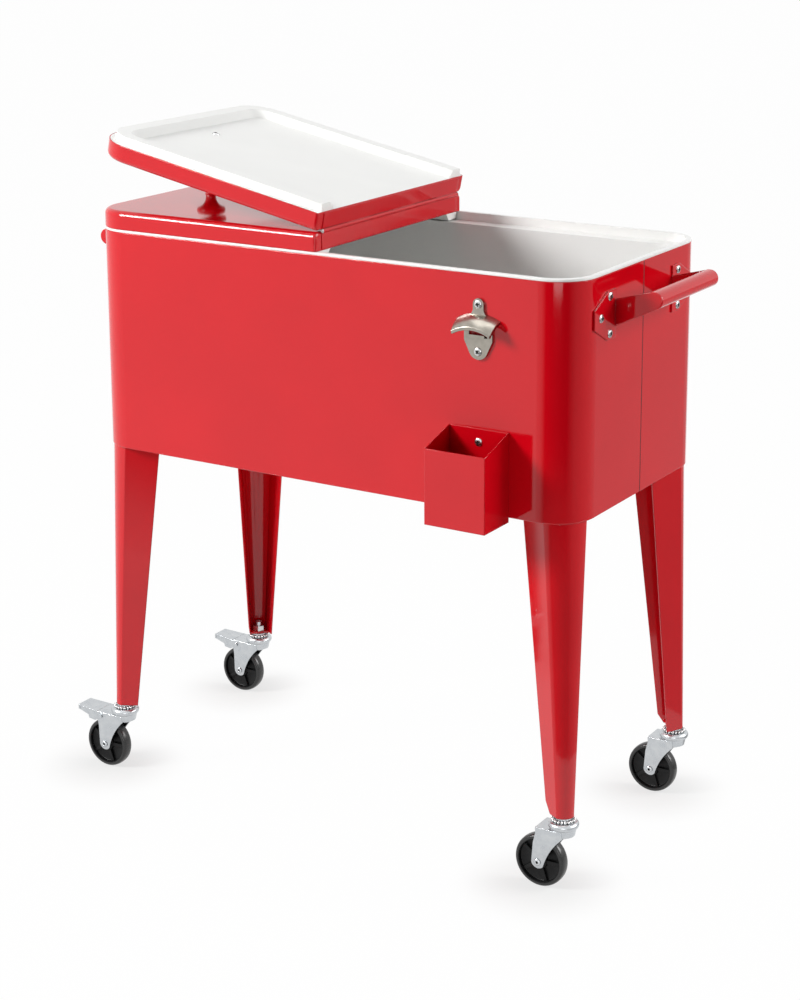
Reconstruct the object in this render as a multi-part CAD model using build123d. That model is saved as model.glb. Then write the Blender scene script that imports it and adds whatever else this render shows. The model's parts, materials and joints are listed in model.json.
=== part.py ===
from build123d import *
import os
from math import asin, atan, atan2, cos, degrees, hypot, radians, sin, sqrt, tan

# Patio cooler cart: an insulated tub in a folded sheet body on four tapered legs with casters.
# Millimetres, +Z up. The origin is on the floor under the middle of the body.
# +X is the end with the plain casters, -Y is the front with the bottle opener.

# Body
body_length = 750.0
body_width = 368.0
body_height = 305.0
body_corner = 53.0
sheet = 1.2
seam_gap = 0.8
seam_fold = 3.0
lip_width = 18.0
lip_fold = 2.0
pan_flange = 12.0
skin_gap = 0.2

# Tub liner
bead_height = 3.5
bead_width = 7.0
bead_round = 1.2
bead_groove = 0.8
seat_depth = 12.0
seat_width = 23.0
liner_wall = 2.5
tub_draft = 1.5
tub_floor_round = 14.0
floor_insulation = 24.0

# Lids
lid_height = 25.0
lid_edge = 8.0
lid_hinge_edge = 4.0
lid_rest_gap = 0.3
lid_panel = 2.0
plug_depth = 10.5
plug_width = 20.0
plug_clearance = 2.0
plug_draft = 6.0
plug_slope = 40.0

# Lid hinge
hinge_rise = 0.5
barrel_diameter = 5.0
barrel_clearance = 0.5
pin_diameter = 2.8
pin_clearance = 0.06
pin_head = 5.4
pin_head_height = 1.8
leaf = 1.0
leaf_gap = 0.5
leaf_end_inset = 14.0
knuckle_count = 6
knuckle_gap = 0.4

# Lid knobs
knob_from_end = 70.0
knob_height = 30.5
knob_head = 41.0
knob_neck = 14.5
knob_crown = 60.0
knob_gap = 0.3
knob_screw = 4.0
knob_screw_depth = 14.0

# Legs
leg_length = 390.0
leg_inset = 5.0
leg_sheet = 1.5
leg_top_radius = 39.0
leg_top_edge = 82.0
leg_turn = 30.0
leg_foot_radius = 15.5
leg_foot_edge = 37.5
leg_flat = 1.0
leg_corner_cut = 12.0
leg_cut_length = 7.0
leg_screw_along = 48.0
leg_screw_in = 16.0
foot_plate = 3.0
foot_gap = 0.3

# Casters
caster_height = 103.0
stem_inset = 18.0
caster_trail = 31.0
wheel_diameter = 71.0
wheel_width = 16.5
wheel_rim = 6.5
wheel_web = 5.0
wheel_hub = 22.0
wheel_spokes = 5
spoke = 4.0
wheel_round = 4.0
fork_sheet = 2.0
fork_side_gap = 1.35
fork_spread = 5.0
fork_crown = 86.0
fork_crown_sheet = 2.5
fork_tip = 9.0
fork_back = 1.5
fork_waist = 5.0
cup_diameter = 40.0
cup_neck = 34.0
cup_bottom = 78.0
cup_top = 97.0
cup_bulge = 9.5
cup_mouth = 31.0
race_diameter = 24.0
race_gap = 0.4
stem_diameter = 10.0
stem_clearance = 0.06
stem_rise = 14.0
rivet_diameter = 15.0
rivet_height = 3.5
axle_diameter = 7.0
axle_clearance = 0.08
axle_head = 9.5
axle_head_height = 1.8
axle_seat = 0.6
stem_nut = 16.0
stem_nut_height = 8.0

# Brake pedals, on the casters of the -X end
pedal_pivot_back = 33.5
pedal_pivot_height = 79.5
pedal_pin = 4.0
pedal_pin_head = 6.5
pedal_pin_head_height = 1.5
pedal_lobe = 3.6
pedal_slit = 0.6
pedal_length = 36.0
pedal_rise = 2.0
pedal_tip_width = 27.0
pedal_lip = 7.0
pedal_press = 12.0
pedal_side_gap = 0.9
crown_overhang = 8.8
shoe_back = 16.0
shoe_down = 5.0
shoe_gap = 0.35

# End handles
handle_sheet = 2.0
handle_reach = 65.5
handle_span = 168.0
handle_arm = 34.5
handle_grip = 22.0
handle_grip_depth = 15.0
handle_rise = 20.5
handle_drop = 52.0
handle_foot_height = 62.0
handle_foot_side = 24.0
handle_foot_width = 55.5
handle_foot_flat = 20.0
handle_bend = 1.5
handle_screw_near = 14.5
handle_screw_far = 38.5
handle_screw_spread = 23.5

# Bottle opener and cap catcher
opener_from_end = 134.0
opener_drop = 68.0
opener_plate = 3.5
opener_tab = 7.5
opener_foot = 13.5
opener_foot_drop = 25.5
opener_tongue = 40.0
opener_window = 26.0
opener_screw_up = 31.0
opener_screw_down = 29.0
claw_width = 22.0
claw_reach = 7.5
claw_drop = 9.0
hood_bow = 50.0
hood_turn = 40.0
hood_width = 61.0
hood_lip_width = 54.0
hood_top = 19.0
hood_reach = 18.5
hood_thickness = 4.5
hood_lip = 1.5
hood_round = 1.5
wing_round = 1.0
catcher_width = 86.0
catcher_depth = 61.0
catcher_back = 116.0
catcher_front = 98.0
catcher_drop = 6.0
catcher_screw_rise = 92.0

# Screws
screw_diameter = 4.0
screw_head = 11.0
screw_head_height = 3.0
screw_clearance = 0.1
screw_length = 11.0

# Drain
drain_from_end = 120.0
drain_bore = 16.0
drain_wall = 3.0
drain_flange = 44.0
drain_flange_height = 3.0
drain_drop = 30.0
drain_nut = 38.0
drain_nut_height = 9.0
drain_cap_height = 18.0
drain_cap_wall = 2.5
drain_clearance = 0.4
drain_sink = 0.4

# Worked-out levels and places
body_bottom = caster_height + leg_length
body_top = body_bottom + body_height
bead_top = body_top + bead_height
seat_level = bead_top - seat_depth
pan_top = body_bottom + 2 * sheet
tub_floor = pan_top + floor_insulation + liner_wall
tub_inset = bead_width + seat_width
lid_bottom = bead_top + lid_rest_gap
lid_top = lid_bottom + lid_height
lid_setback = leaf_gap + leaf
hinge_level = lid_top + hinge_rise
hinge_axis = Axis((0, 0, hinge_level), (0, 1, 0))
leaf_length = body_width - 2 * leaf_end_inset
stem_x = body_length / 2 - stem_inset
stem_y = body_width / 2 - stem_inset
wheel_radius = wheel_diameter / 2
fork_lean = degrees(atan(fork_spread / (fork_crown - wheel_radius)))
drain_x = drain_from_end - body_length / 2
drain_seat = tub_floor - drain_flange_height - drain_sink
knob_distance = body_length / 2 - knob_from_end
handle_level = body_top - handle_drop
opener_x = body_length / 2 - opener_from_end
opener_level = body_top - opener_drop


def save(name, *solids):
    """Write one node: a single solid, or a group of separate ones."""
    shape = solids[0] if len(solids) == 1 else Compound(children=list(solids))
    export_step(shape, os.path.join("parts", name + ".step"))


def plan(inset, level=0.0):
    """Rounded outline of the body, moved in by an inset."""
    outline = RectangleRounded(
        body_length - 2 * inset, body_width - 2 * inset, max(body_corner - inset, 4.0))
    return Plane.XY.offset(level) * outline


def disc(diameter, bottom, top, x=0.0, y=0.0):
    """Upright cylinder between two levels."""
    return Pos(x, y, (bottom + top) / 2) * Cylinder(diameter / 2, top - bottom)


def hexagon(across, bottom, top, x=0.0, y=0.0):
    """Upright hexagon prism between two levels, given across its flats."""
    face = RegularPolygon(across / 2, 6, major_radius=False)
    return Pos(x, y, bottom) * extrude(face, top - bottom)


def slab(x_span, y_span, z_span):
    """Box from its spans along the three axes."""
    low = [min(span) for span in (x_span, y_span, z_span)]
    size = [max(span) - min(span) for span in (x_span, y_span, z_span)]
    corner = (Align.MIN, Align.MIN, Align.MIN)
    return Pos(*low) * Box(*size, align=corner)


def cap_middle(edge, height, top):
    """Point half way along a spherical cap's profile, with the cap's centre on the axis."""
    radius = (edge ** 2 + height ** 2) / (2 * height)
    half = asin(edge / radius) / 2
    return (radius * sin(half), top - radius + radius * cos(half))


def screw(length=screw_length):
    """Round-headed screw along Z, with the seat of its head at zero."""
    head = screw_head / 2
    middle = cap_middle(head, screw_head_height, screw_head_height)
    with BuildSketch(Plane.XZ) as half:
        with BuildLine():
            Line((0, -length), (screw_diameter / 2, -length))
            Line((screw_diameter / 2, -length), (screw_diameter / 2, 0))
            Line((screw_diameter / 2, 0), (head, 0))
            ThreePointArc((head, 0), middle, (0, screw_head_height))
            Line((0, screw_head_height), (0, -length))
        make_face()
    return revolve(half.sketch, Axis.Z)


def screw_hole(length=screw_length):
    """Clearance for one screw's shank."""
    hole = Cylinder(screw_diameter / 2 + screw_clearance, 2 * (length + 1))
    return hole


def placed(shape, places):
    """Copies of one shape at a list of locations."""
    return [place * shape for place in places]


# Places of the screws, each with +Z pointing out of the surface it sits on
def handle_screw_places(end):
    """Three screws in each of the two feet of one handle."""
    outward = Plane((0, 0, 0), x_dir=(0, 1, 0), z_dir=(end, 0, 0))
    places = []
    for side in (-1, 1):
        inner = side * (handle_span / 2 + handle_screw_near)
        outer = side * (handle_span / 2 + handle_screw_far)
        spots = [(inner, handle_screw_spread), (outer, 0.0), (inner, -handle_screw_spread)]
        for y, rise in spots:
            spot = (end * (body_length / 2 + handle_sheet), y, handle_level + rise)
            places.append(Location(Plane(spot, x_dir=outward.x_dir, z_dir=outward.z_dir)))
    return places


def front_place(level, lift):
    """Location on the front of the body in line with the opener, lifted off the wall."""
    spot = (opener_x, -body_width / 2 - lift, level)
    return Location(Plane(spot, x_dir=(1, 0, 0), z_dir=(0, -1, 0)))


opener_screw_places = [
    front_place(opener_level + opener_screw_up, opener_plate),
    front_place(opener_level - opener_screw_down, opener_plate)]
catcher_screw_places = [front_place(body_bottom + catcher_screw_rise, sheet)]
front_holes = opener_screw_places + catcher_screw_places
end_holes = handle_screw_places(1) + handle_screw_places(-1)


def body_shell():
    """Wrapped body wall with its folded-in bottom lip, seam folds and the holes for what is screwed on."""
    wall = extrude(plan(0, body_bottom) - plan(sheet, body_bottom), body_height)
    lip = extrude(plan(0, body_bottom) - plan(lip_width, body_bottom), sheet)
    fold_bottom = body_bottom + sheet + pan_flange + skin_gap
    fold_half = seam_gap / 2 + sheet
    for end in (-1, 1):
        span = (end * (body_length / 2 - sheet - seam_fold), end * (body_length / 2 - sheet / 2))
        wall += slab(span, (-fold_half, fold_half), (fold_bottom, body_top))
    shell = wall + lip
    outer_foot = shell.edges().filter_by_position(Axis.Z, body_bottom - 0.1, body_bottom + 0.1)
    outer_foot = [edge for edge in outer_foot if on_outline(edge)]
    shell = fillet(outer_foot, lip_fold * 0.5)
    for hole in placed(screw_hole(), front_holes + end_holes):
        shell -= hole
    for x, y in leg_screw_spots():
        shell -= disc(screw_diameter + 2 * screw_clearance, body_bottom - 1, pan_top + 1, x, y)
    return shell


def on_outline(edge):
    """Whether an edge lies on the outermost outline of the body."""
    middle = edge.position_at(0.5)
    along_x = abs(abs(middle.X) - body_length / 2)
    along_y = abs(abs(middle.Y) - body_width / 2)
    corner = hypot(abs(middle.X) - body_length / 2 + body_corner, abs(middle.Y) - body_width / 2 + body_corner)
    return min(along_x, along_y, abs(corner - body_corner)) < 0.01


def leg_screw_spots():
    """Plan positions of the screws that hold the leg tops to the body's lip."""
    spots = []
    for sx in (-1, 1):
        for sy in (-1, 1):
            for along, inward in ((leg_screw_along, leg_screw_in), (leg_screw_in, leg_screw_along)):
                x = sx * (body_length / 2 - leg_inset - along)
                y = sy * (body_width / 2 - leg_inset - inward)
                spots.append((x, y))
    return spots


def half_of(shape, side):
    """Front (-1) or rear (+1) half of a shape, short of the seam."""
    reach = 2 * body_length
    keep = slab((-reach, reach), (side * seam_gap / 2, side * reach), (0, 2 * body_top))
    return shape & keep


def bottom_pan():
    """Flat tray that closes the body from below, with a low upturned flange."""
    inset = sheet + skin_gap
    tray = extrude(plan(inset, body_bottom + sheet), pan_flange)
    tray -= extrude(plan(inset + sheet, pan_top), pan_flange)
    tray -= disc(drain_bore + 2 * drain_wall + 2 * drain_clearance, 0, body_top, drain_x)
    for x, y in leg_screw_spots():
        tray -= disc(screw_diameter + 2 * screw_clearance, body_bottom - 1, pan_top + 1, x, y)
    return tray


def tub_form(grow):
    """Inside form of the tub, grown outwards by a wall: the well, the drain's recess and the lid seat."""
    depth = seat_level - tub_floor
    well_top = plan(tub_inset - grow, seat_level)
    well = extrude(well_top, -(depth + grow), taper=tub_draft)
    floor_edges = well.edges().group_by(Axis.Z)[0]
    well = fillet(floor_edges, tub_floor_round + grow)
    seat = extrude(plan(bead_width - grow, seat_level - grow), seat_depth + grow)
    recess = drain_flange + 2 * drain_clearance + 2 * grow
    return well + seat + disc(recess, drain_seat - grow, tub_floor, drain_x)


def tub_liner():
    """Moulded tub: bead over the body's edge, recessed lid seat, drafted well."""
    bead = extrude(plan(0, body_top), bead_height)
    bead = fillet(bead.edges().group_by(Axis.Z)[-1], bead_round)
    bead = fillet(bead.edges().group_by(Axis.Z)[0], bead_groove)
    outside = tub_form(liner_wall) & slab(
        (-body_length, body_length), (-body_width, body_width), (0, bead_top - bead_round))
    liner = bead + outside - tub_form(0)
    return liner - disc(drain_bore + 2 * drain_wall + 2 * drain_clearance, 0, tub_floor + 5, drain_x)


def body_insulation():
    """Foam between the tub and the sheet body."""
    inset = 2 * sheet + 2 * skin_gap
    foam = extrude(plan(inset, pan_top + skin_gap), body_top - pan_top - 2 * skin_gap)
    foam -= tub_form(liner_wall + skin_gap)
    pocket = seam_gap / 2 + sheet + skin_gap
    depth = sheet + seam_fold + skin_gap
    for end in (-1, 1):
        span = (end * body_length / 2, end * (body_length / 2 - depth))
        foam -= slab(span, (-pocket, pocket), (0, body_top))
    foam -= disc(drain_bore + 2 * drain_wall + 2 * drain_clearance, 0, body_top, drain_x)
    for hole in placed(screw_hole(), front_holes + end_holes):
        foam -= hole
    for x, y in leg_screw_spots():
        foam -= disc(screw_diameter + 2 * screw_clearance, body_bottom, body_bottom + screw_length, x, y)
    return foam


def lid_outline(inset, hinge_inset, level):
    """Outline of the left lid: half of the body's outline, short of the hinge."""
    half = slab((-body_length, -hinge_inset), (-body_width, body_width), (level - 1, level + 1))
    return plan(inset, level) & half


def lid_block(inset, hinge_inset, bottom, top, edge, hinge_edge):
    """Left lid's form: rounded over on three sides, and round the hinge side by a smaller radius."""
    block = extrude(lid_outline(inset, hinge_inset, bottom), top - bottom)
    rim = block.edges().group_by(Axis.Z)[-1]
    rim = [one for one in rim if abs(one.center().X + hinge_inset) > 0.01]
    block = fillet(rim, edge)
    hinge_face = block.faces().sort_by(Axis.X)[-1]
    turned = [one for one in hinge_face.edges() if one.center().Z > bottom + 0.01]
    return fillet(turned, hinge_edge)


def knob_hole(diameter):
    """Upright hole for the left knob's screw, through the whole lid."""
    return disc(diameter, lid_bottom - plug_depth - 1, lid_top + 1, -knob_distance)


def lid_shell():
    """Left lid's drawn sheet cover."""
    cover = lid_block(0, lid_setback, lid_bottom, lid_top, lid_edge, lid_hinge_edge)
    cover -= lid_block(
        sheet, lid_setback + sheet, lid_bottom, lid_top - sheet, lid_edge - sheet, lid_hinge_edge - sheet)
    inside = lid_outline(sheet, lid_setback + sheet, lid_bottom - 1)
    cover -= extrude(inside, 1 + lid_panel)
    return cover - knob_hole(knob_screw + 2 * screw_clearance)


def lid_insulation():
    """Foam inside the left lid."""
    inset = sheet + skin_gap
    foam = lid_block(inset, lid_setback + inset, lid_bottom + lid_panel + skin_gap, lid_top - inset,
                     lid_edge - inset, lid_hinge_edge - inset)
    return foam - knob_hole(knob_screw + 2)


def lid_liner():
    """Left lid's white inside: a flat panel with a plug rim on three sides that drops into the seat."""
    inset = sheet + skin_gap
    panel = extrude(lid_outline(inset, lid_setback + inset, lid_bottom), lid_panel)
    outer = bead_width + plug_clearance
    rim = extrude(lid_outline(outer, lid_setback + inset, lid_bottom), -plug_depth, taper=plug_draft)
    hollow = lid_outline(outer + plug_width, -body_width, lid_bottom - plug_depth)
    rim -= extrude(hollow, plug_depth, taper=plug_slope)
    return panel + rim - knob_hole(knob_screw + 2 * screw_clearance)


def hinge_leaf(side):
    """One lid's hinge leaf with its rolled knuckles; side -1 is the left lid, +1 the right one."""
    half = leaf_length / 2
    reach = barrel_diameter / 2 + barrel_clearance
    strip = slab((side * leaf_gap, side * (leaf_gap + leaf)), (-half, half), (lid_bottom + 1, hinge_level))
    pitch = leaf_length / knuckle_count
    for index in range(knuckle_count):
        start = index * pitch - half
        own = index % 2 == (0 if side < 0 else 1)
        if own:
            span = pitch - knuckle_gap
            place = Location(Plane((0, start + pitch / 2, hinge_level), z_dir=(0, 1, 0)))
            strip += place * Cylinder(barrel_diameter / 2, span)
            for end in (start, start + pitch):
                strip -= slab((-reach, reach), (end - knuckle_gap / 2, end + knuckle_gap / 2),
                              (hinge_level - reach, hinge_level + reach))
        else:
            strip -= slab((-reach, reach), (start, start + pitch), (hinge_level - reach, hinge_level + reach))
    bore = Location(Plane((0, 0, hinge_level), z_dir=(0, 1, 0)))
    return strip - bore * Cylinder(pin_diameter / 2 + pin_clearance, 2 * body_width)


def hinge_pin():
    """Pin through all the knuckles, with a domed head at each end."""
    half = leaf_length / 2 + knuckle_gap
    end = half + pin_head_height
    bulge, rise = cap_middle(pin_head / 2, pin_head_height, end)
    with BuildSketch(Plane.XY) as profile:
        with BuildLine():
            Line((0, -end), (0, end))
            ThreePointArc((0, end), (bulge, rise), (pin_head / 2, half))
            Line((pin_head / 2, half), (pin_diameter / 2, half))
            Line((pin_diameter / 2, half), (pin_diameter / 2, -half))
            Line((pin_diameter / 2, -half), (pin_head / 2, -half))
            ThreePointArc((pin_head / 2, -half), (bulge, -rise), (0, -end))
        make_face()
    return Pos(0, 0, hinge_level) * revolve(profile.sketch, Axis.Y)


def knob():
    """Turned trumpet-shaped knob of the left lid, bored for its screw."""
    neck, head = knob_neck / 2, knob_head / 2
    crown_edge = head - 3.0
    crown_drop = knob_crown - sqrt(knob_crown ** 2 - crown_edge ** 2)
    shoulder = knob_height - crown_drop
    with BuildSketch(Plane.XZ) as half:
        with BuildLine():
            Line((0, 0), (neck + 1.5, 0))
            ThreePointArc((neck + 1.5, 0), (neck + 0.3, 1.6), (neck, 4.0))
            TangentArc((neck, 4.0), (head - 1.5, shoulder - 8.5), tangent=(0, 1))
            ThreePointArc((head - 1.5, shoulder - 8.5), (head, shoulder - 4.5), (crown_edge, shoulder))
            ThreePointArc((crown_edge, shoulder), cap_middle(crown_edge, crown_drop, knob_height),
                          (0, knob_height))
            Line((0, knob_height), (0, 0))
        make_face()
    body = revolve(half.sketch, Axis.Z)
    body -= disc(knob_screw + 2 * screw_clearance, -1, knob_screw_depth + 0.5)
    return Pos(-knob_distance, 0, lid_top) * body


def knob_bolt():
    """Long screw from inside the left lid up into its knob."""
    reach = lid_height + knob_screw_depth
    shank = disc(knob_screw, lid_bottom, lid_bottom + reach, -knob_distance)
    head = disc(screw_head, lid_bottom - screw_head_height, lid_bottom, -knob_distance)
    head = fillet(head.edges().group_by(Axis.Z)[0], screw_head_height * 0.6)
    return shank + head


def fold_angle():
    """Turn of the right lid from closed until its knob comes to rest on the left lid's knob."""
    below = knob_crown - (knob_height - hinge_rise)
    reach = hypot(knob_distance, below)
    half_gap = asin((knob_crown + knob_gap / 2) / reach) - atan2(below, knob_distance)
    return 180.0 - 2 * degrees(half_gap)


def folded(shape):
    """Mirror a left lid piece to the right lid, then turn it over onto the left one."""
    return turned_over(mirror(shape, about=Plane.YZ))


def turned_over(shape):
    """Turn a closed right lid piece over to its open rest."""
    return shape.rotate(hinge_axis, -fold_angle())


def leg_line(radius, edge, depth):
    """Corner points of the leg's section line at a depth from its outer skin, from flange to flange."""
    turn = radians(leg_turn)
    flat = radius + leg_flat
    bend = (flat - depth * tan(turn / 2), depth)
    rise = (edge - flat) * tan(turn)
    free = (edge - depth * sin(turn), rise + depth * cos(turn))
    half = [free, bend, (radius, depth)]
    return half + [(v, u) for u, v in reversed(half)]


def leg_trace(points, radius, depth):
    """Draw a leg's section line: flange, flat, quarter round, flat, flange."""
    middle = radius - (radius - depth) * sqrt(0.5)
    Polyline(*points[:3])
    ThreePointArc(points[2], (middle, middle), points[3])
    Polyline(*points[3:])


def leg_section(radius, edge, level):
    """Leg's channel section in the corner's own frame, u and v running in from the two outer faces."""
    outer = leg_line(radius, edge, 0)
    inner = leg_line(radius, edge, leg_sheet)
    with BuildSketch(Plane.XY.offset(level)) as section:
        with BuildLine():
            leg_trace(outer, radius, 0)
            leg_trace(inner, radius, leg_sheet)
            Line(outer[0], inner[0])
            Line(outer[-1], inner[-1])
        make_face()
    return section.sketch


def leg_inside(radius, edge, level, depth):
    """Area that the leg's section holds, closed across its open side."""
    line = leg_line(radius, edge, depth)
    with BuildSketch(Plane.XY.offset(level)) as area:
        with BuildLine():
            leg_trace(line, radius, depth)
            Line(line[-1], line[0])
        make_face()
    return area.sketch


def leg():
    """Tapered channel leg in the corner's frame, with its top tab and one foot corner cut off."""
    top = leg_section(leg_top_radius, leg_top_edge, body_bottom)
    foot = leg_section(leg_foot_radius, leg_foot_edge, caster_height)
    channel = loft([foot, top], ruled=True)
    start = leg_foot_edge - leg_cut_length
    reach = 2 * leg_cut_length
    rise = leg_corner_cut * reach / leg_cut_length
    with BuildSketch(Plane.XZ) as wedge:
        with BuildLine():
            Polyline((start, caster_height - 1), (start + reach, caster_height - 1),
                     (start + reach, caster_height + rise), (start, caster_height), close=True)
        make_face()
    channel -= extrude(wedge.sketch, leg_top_edge, both=True)
    tab = leg_inside(leg_top_radius, leg_top_edge, body_bottom, leg_sheet / 2)
    whole = channel + extrude(tab, -leg_sheet)
    for along, inward in ((leg_screw_along, leg_screw_in), (leg_screw_in, leg_screw_along)):
        whole -= disc(screw_diameter + 2 * screw_clearance, body_bottom - 5, body_bottom + 1, along, inward)
    return whole


def foot_mount():
    """Plate across the leg's foot that takes the caster's stem, in the corner's frame."""
    edge = leg_foot_edge - leg_cut_length
    plate = leg_inside(leg_foot_radius, edge, caster_height, leg_sheet + foot_gap)
    plate = extrude(plate, foot_plate)
    spot = stem_inset - leg_inset
    return plate - disc(stem_diameter + 2 * stem_clearance, 0, body_bottom, spot, spot)


def at_corner(shape, sx, sy):
    """Move a shape from the corner's frame to one corner of the body."""
    shape = Pos(-body_length / 2 + leg_inset, -body_width / 2 + leg_inset, 0) * shape
    if sx > 0:
        shape = mirror(shape, about=Plane.YZ)
    if sy > 0:
        shape = mirror(shape, about=Plane.XZ)
    return shape


def caster_stem():
    """King pin: rivet head, shaft, upper race and stud."""
    shaft = disc(stem_diameter, cup_bottom - race_gap - 0.5, caster_height + foot_plate + stem_rise)
    rivet = disc(rivet_diameter, cup_bottom - race_gap - rivet_height, cup_bottom - race_gap)
    race = disc(race_diameter, cup_top + race_gap, caster_height)
    race = fillet(race.edges().group_by(Axis.Z)[0], 1.5)
    return shaft + rivet + race


def stem_nut_piece():
    """Hexagon nut on the stud above the foot plate."""
    bottom = caster_height + foot_plate
    nut = hexagon(stem_nut, bottom, bottom + stem_nut_height)
    return nut - disc(stem_diameter + 2 * stem_clearance, bottom - 1, bottom + stem_nut_height + 1)


def crown_back(brake):
    """Where a fork's crown ends behind the stem; on a braked one it covers the pedal's pivot."""
    if brake:
        return -pedal_pivot_back - crown_overhang + pedal_lobe - 1
    return -caster_trail - fork_back


def fork_side(brake):
    """Outline of a fork's side plate, seen along Y, with the stem at x = 0."""
    axle = (-caster_trail, wheel_radius)
    nose = cup_neck / 6
    back = crown_back(brake)
    tip_front = (axle[0] + fork_tip * 0.85, axle[1] - fork_tip * 0.53)
    tip_back = (axle[0] - fork_tip, axle[1])
    waist = (axle[0] + fork_tip + 7, axle[1] + fork_tip + 6)
    neck = (back - fork_waist * 0.8, axle[1] + 28)
    if brake:
        neck = (back + 1, axle[1] + 28)
    with BuildSketch(Plane.XZ) as side:
        with BuildLine():
            Polyline((nose, fork_crown), (nose, cup_bottom - 1))
            ThreePointArc((nose, cup_bottom - 1), waist, tip_front)
            ThreePointArc(tip_front, (axle[0], axle[1] - fork_tip), tip_back)
            Polyline(tip_back, neck, (back, fork_crown - 8), (back, fork_crown), (nose, fork_crown))
        make_face()
    return side.sketch


def fork_half(level):
    """Half the width between the leaning side plates at a level."""
    return wheel_width / 2 + fork_side_gap + (level - wheel_radius) * tan(radians(fork_lean))


def fork_cup():
    """Pressed cup of the swivel: a tapering neck under a rounded bulge."""
    waist = cup_top - cup_bulge
    middle = cup_top - cup_bulge / 2
    with BuildSketch(Plane.XZ) as half:
        with BuildLine():
            Polyline((0, cup_top), (0, cup_bottom), (cup_neck / 2 - 2, cup_bottom), (cup_neck / 2, waist))
            ThreePointArc((cup_neck / 2, waist), (cup_diameter / 2, middle), (cup_mouth / 2, cup_top))
            Line((cup_mouth / 2, cup_top), (0, cup_top))
        make_face()
    return revolve(half.sketch, Axis.Z)


def fork(brake):
    """Pressed fork: round cup on the king pin, crown plate and two side plates that lean in to the axle."""
    inner = fork_half(wheel_radius)
    plate = Pos(0, inner + fork_sheet / 2, 0) * extrude(fork_side(brake), fork_sheet / 2, both=True)
    plate = plate.rotate(Axis((0, inner, wheel_radius), (1, 0, 0)), -fork_lean)
    outer = fork_half(fork_crown) + fork_sheet * 0.9
    crown = slab((crown_back(brake), 0), (-outer, outer), (fork_crown - fork_crown_sheet, fork_crown))
    whole = fork_cup() + crown + plate + mirror(plate, about=Plane.XZ)
    whole -= disc(stem_diameter + 2 * stem_clearance, 0, caster_height)
    holes = [((-caster_trail, wheel_radius), axle_diameter + 2 * axle_clearance)]
    if brake:
        holes.append(((-pedal_pivot_back, pedal_pivot_height), pedal_pin + 2 * axle_clearance))
    for (x, z), diameter in holes:
        whole -= across(diameter, 4 * outer, x, z)
    return whole


def across(diameter, length, x, z):
    """Cylinder along Y about its middle."""
    return Location(Plane((x, 0, z), z_dir=(0, 1, 0))) * Cylinder(diameter / 2, length)


def riveted_pin(diameter, head, head_height, x, z):
    """Pin across a fork with a head outside each leaning side plate."""
    outer = fork_half(z) + fork_sheet + axle_seat
    pin = across(diameter, 2 * outer, x, z)
    for side in (-1, 1):
        pin += Pos(0, side * (outer + head_height / 2), 0) * across(head, head_height, x, z)
    return pin


def wheel():
    """Moulded wheel: crowned tread, rim, thin web with spokes, hub."""
    outer, half = wheel_radius, wheel_width / 2
    rim = outer - wheel_rim
    hub, web = wheel_hub / 2, wheel_web / 2
    bore = axle_diameter / 2 + axle_clearance
    with BuildSketch(Plane.XZ) as profile:
        with BuildLine():
            Polyline((bore, -half), (hub, -half), (hub, -web), (rim, -web), (rim, -half),
                     (outer - wheel_round, -half))
            ThreePointArc((outer - wheel_round, -half), (outer - wheel_round * 0.25, -half + wheel_round * 0.42),
                          (outer, -half + wheel_round * 1.5))
            Line((outer, -half + wheel_round * 1.5), (outer, half - wheel_round * 1.5))
            ThreePointArc((outer, half - wheel_round * 1.5), (outer - wheel_round * 0.25, half - wheel_round * 0.42),
                          (outer - wheel_round, half))
            Polyline((outer - wheel_round, half), (rim, half), (rim, web), (hub, web), (hub, half),
                     (bore, half), (bore, -half))
        make_face()
    body = revolve(profile.sketch, Axis.Z)
    length = rim - hub + 2
    for index in range(wheel_spokes):
        bar = Pos((rim + hub) / 2, 0, 0) * Box(length, spoke, wheel_width * 0.72)
        body += Rot(0, 0, index * 360 / wheel_spokes) * bar
    return Pos(-caster_trail, 0, wheel_radius) * Rot(90, 0, 0) * body


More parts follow.
